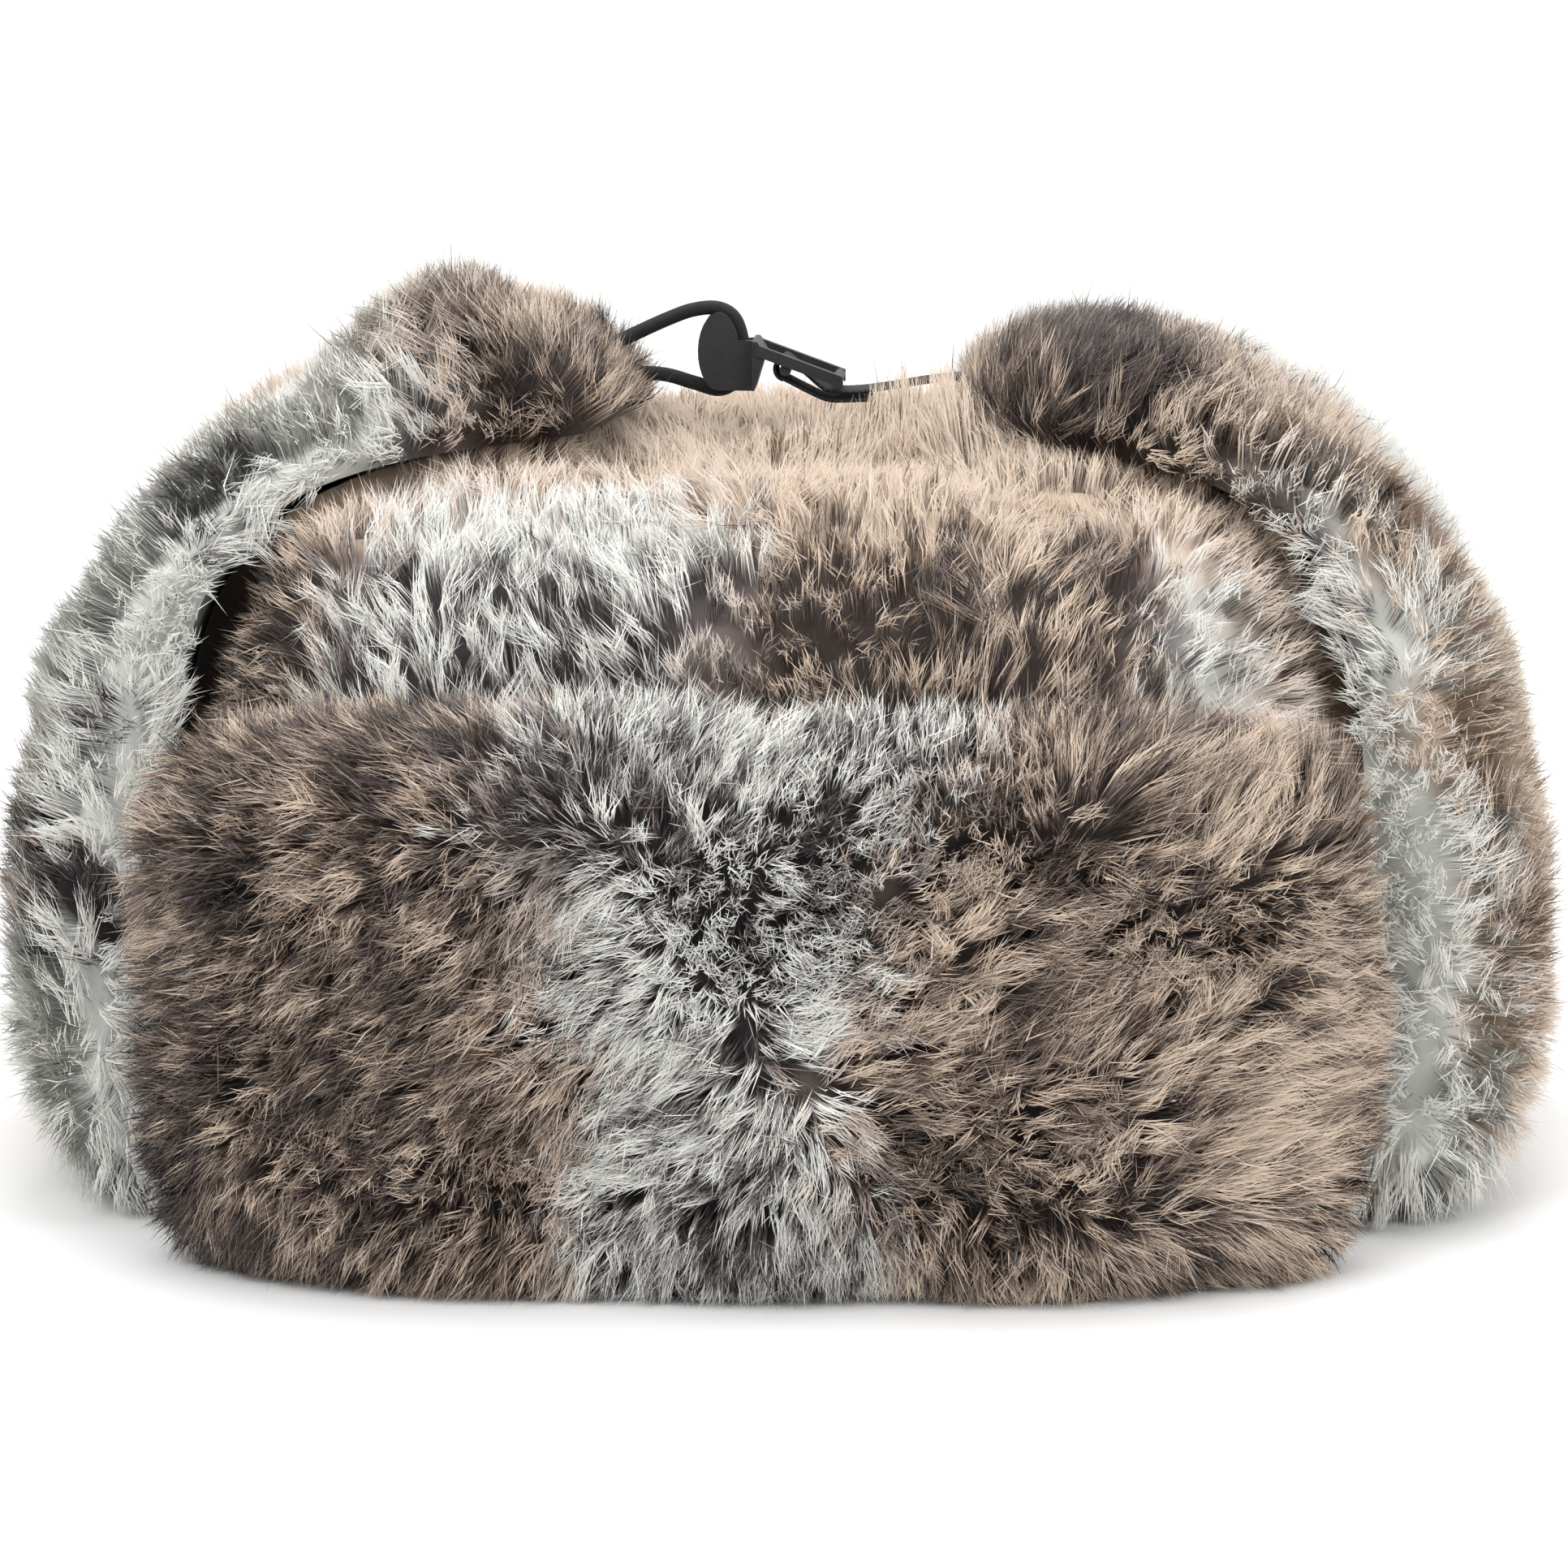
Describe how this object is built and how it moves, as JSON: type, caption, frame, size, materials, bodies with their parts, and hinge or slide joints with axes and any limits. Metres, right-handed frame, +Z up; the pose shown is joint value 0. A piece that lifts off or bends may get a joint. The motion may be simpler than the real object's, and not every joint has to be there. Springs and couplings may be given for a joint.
{
  "type": "ushanka hat",
  "caption": "Faux fur winter hat with padded brow and neck flaps, and ear flaps turned up and fastened over the crown by an elastic loop on a hook clip.",
  "frame": {"origin": "centre of the hat's outline in plan, on the plane of the crown's rim", "axes": "+Z up, from the rim to the crown's top. -Y towards the brow, +Y towards the nape. -X towards the ear flap with the elastic loop."},
  "size_m": [0.263, 0.28, 0.1494],
  "materials": {
    "brown_pile": "long mottled faux fur, brown with pale tips",
    "silver_pile": "long mottled faux fur, silver grey with dark roots",
    "black_elastic": "matte round elastic",
    "black_plastic": "moulded, fine grained",
    "black_webbing": "flat woven webbing"
  },
  "bodies": {
    "root": {"crown": "brown_pile", "brow_flap": "brown_pile", "neck_flap": "brown_pile", "ear_flap_left": "silver_pile", "ear_flap_right": "silver_pile", "elastic_loop": "black_elastic", "clip_hook": "black_plastic", "chin_strap": "black_webbing"}
  },
  "joints": []
}
